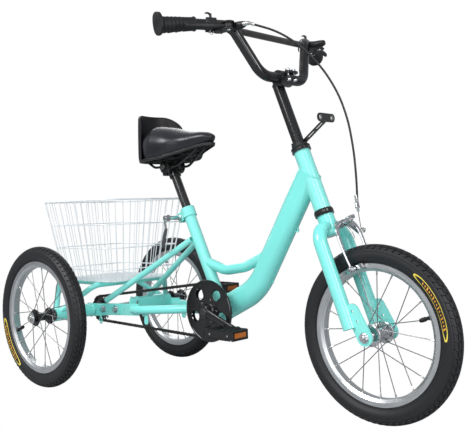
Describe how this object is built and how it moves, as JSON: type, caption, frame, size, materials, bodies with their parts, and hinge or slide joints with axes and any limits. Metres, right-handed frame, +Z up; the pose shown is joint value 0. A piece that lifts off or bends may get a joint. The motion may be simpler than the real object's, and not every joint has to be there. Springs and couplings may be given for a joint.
{
  "type": "adult tricycle",
  "caption": "Step-through pedal tricycle with small spoked wheels, chain drive, padded saddle with low back, hand-braked front wheel and a white wire basket on a rear tube rack.",
  "frame": {"origin": "on the ground under the middle of the overall box", "axes": "+X forwards, +Y to the rider's left, +Z up"},
  "size_m": [1.352, 0.6002, 0.9489],
  "materials": {
    "mint_paint": "gloss mint green enamel",
    "black_paint": "gloss black enamel",
    "alloy": "brushed aluminium",
    "chrome": "bright plating",
    "steel": "dark oiled steel",
    "tyre": "black tyre rubber with a block tread",
    "rubber": "matt black rubber",
    "black_plastic": "black moulded plastic",
    "vinyl": "glossy black vinyl over foam",
    "basket_coating": "white plastic-coated wire",
    "amber": "amber reflector plastic",
    "cable": "black cable sheath"
  },
  "bodies": {
    "frame": {"head_tube": "mint_paint", "headset_cups": "black_paint", "main_tube": "mint_paint", "seat_tube": "mint_paint", "cross_tube": "mint_paint", "bottom_bracket_shell": "mint_paint", "chainstays": "mint_paint", "seatstays": "mint_paint", "axle_plates": "mint_paint", "axle_housings": "mint_paint", "bearings": "steel", "frame_bolts": "chrome", "rack": "mint_paint", "basket": "basket_coating", "seat_collar": "mint_paint", "chain": "steel"},
    "seat": {"seat_post": "black_paint", "saddle_clamp_and_rails": "black_paint", "saddle_cover": "vinyl", "saddle_base": "black_plastic", "backrest": "black_plastic"},
    "quick_release": {"quick_release_lever": "chrome"},
    "steering": {"fork_crown": "mint_paint", "fork_legs": "mint_paint", "front_axle": "chrome", "headset_nuts": "black_paint", "accessory_bracket": "black_paint", "stem": "black_paint", "handlebar": "black_paint", "grips": "rubber", "lever_perches": "black_plastic", "brake_cable": "cable", "steering_bolts": "chrome"},
    "brake_lever_right_body": {"brake_lever_right": "black_plastic"},
    "brake_lever_left_body": {"brake_lever_left": "black_plastic"},
    "caliper_right": {"caliper_arm_right": "chrome", "brake_shoe_right": "rubber"},
    "caliper_left": {"caliper_arm_left": "chrome", "brake_shoe_left": "rubber"},
    "front_wheel": {"front_tyre": "tyre", "front_rim": "alloy", "front_hub": "chrome", "front_spokes": "chrome"},
    "rear_wheel_right": {"rear_right_tyre": "tyre", "rear_right_rim": "alloy", "rear_right_hub": "black_paint", "rear_right_spokes": "chrome", "rear_axle": "steel"},
    "rear_wheel_left": {"rear_left_tyre": "tyre", "rear_left_rim": "alloy", "rear_left_hub": "black_paint", "rear_left_spokes": "chrome"},
    "crank": {"crank_axles": "steel", "crank_arms": "black_paint", "chainring": "black_paint"},
    "pedal_right_body": {"pedal_right": "black_plastic", "reflectors_right": "amber"},
    "pedal_left_body": {"pedal_left": "black_plastic", "reflectors_left": "amber"},
    "freewheel": {"rear_sprocket": "steel"}
  },
  "joints": [
    {"name": "steering", "type": "hinge", "parent": "frame", "child": "steering", "pos_m": [0.34, 0, 0.469], "axis": [-0.3746, 0, 0.9272], "range_deg": [-45, 45]},
    {"name": "front_wheel_spin", "type": "hinge", "parent": "steering", "child": "front_wheel", "pos_m": [0.476, 0, 0.2], "axis": [0, 1, 0], "continuous": true},
    {"name": "rear_wheel_right_spin", "type": "hinge", "parent": "frame", "child": "rear_wheel_right", "pos_m": [-0.476, 0, 0.2], "axis": [0, 1, 0], "continuous": true},
    {"name": "rear_wheel_left_spin", "type": "hinge", "parent": "frame", "child": "rear_wheel_left", "pos_m": [-0.476, 0, 0.2], "axis": [0, 1, 0], "continuous": true},
    {"name": "crank_spin", "type": "hinge", "parent": "frame", "child": "crank", "pos_m": [-0.0018, 0, 0.225], "axis": [0, 1, 0], "continuous": true},
    {"name": "sprocket_spin", "type": "hinge", "parent": "frame", "child": "freewheel", "pos_m": [-0.476, 0, 0.2], "axis": [0, 1, 0], "continuous": true},
    {"name": "pedal_right_spin", "type": "hinge", "parent": "crank", "child": "pedal_right_body", "pos_m": [0.11096, 0, 0.18396], "axis": [0, 1, 0], "continuous": true},
    {"name": "pedal_left_spin", "type": "hinge", "parent": "crank", "child": "pedal_left_body", "pos_m": [-0.11457, 0, 0.26604], "axis": [0, 1, 0], "continuous": true},
    {"name": "brake_lever_right_pull", "type": "hinge", "parent": "steering", "child": "brake_lever_right_body", "pos_m": [0.214, -0.17, 0.906], "axis": [0, 0, -1], "range_deg": [0, 12], "stiffness_Nm_per_rad": 1.5, "springref_deg": -11.46},
    {"name": "brake_lever_left_pull", "type": "hinge", "parent": "steering", "child": "brake_lever_left_body", "pos_m": [0.214, 0.17, 0.906], "axis": [0, 0, 1], "range_deg": [0, 12], "stiffness_Nm_per_rad": 1.5, "springref_deg": -11.46},
    {"name": "caliper_right_swing", "type": "hinge", "parent": "steering", "child": "caliper_right", "pos_m": [0.39207, 0, 0.44689], "axis": [0.9272, 0, 0.3746], "range_deg": [0, 0.85], "stiffness_Nm_per_rad": 1.5, "springref_deg": -5.73},
    {"name": "caliper_left_swing", "type": "hinge", "parent": "steering", "child": "caliper_left", "pos_m": [0.39207, 0, 0.44689], "axis": [-0.9272, 0, -0.3746], "range_deg": [0, 0.85], "stiffness_Nm_per_rad": 1.5, "springref_deg": -5.73},
    {"name": "seat_height", "type": "slide", "parent": "frame", "child": "seat", "axis": [-0.4305, 0, 0.9026], "range_m": [-0.08, 0.06]},
    {"name": "quick_release", "type": "hinge", "parent": "frame", "child": "quick_release", "pos_m": [-0.1516, -0.057, 0.4693], "axis": [-1, 0, 0], "range_deg": [0, 110]}
  ],
  "couplings": [
    {"joint": "sprocket_spin", "follows": "crank_spin", "ratio": 2},
    {"joint": "caliper_right_swing", "follows": "brake_lever_right_pull", "ratio": 0.0708},
    {"joint": "caliper_left_swing", "follows": "brake_lever_right_pull", "ratio": 0.0708}
  ]
}
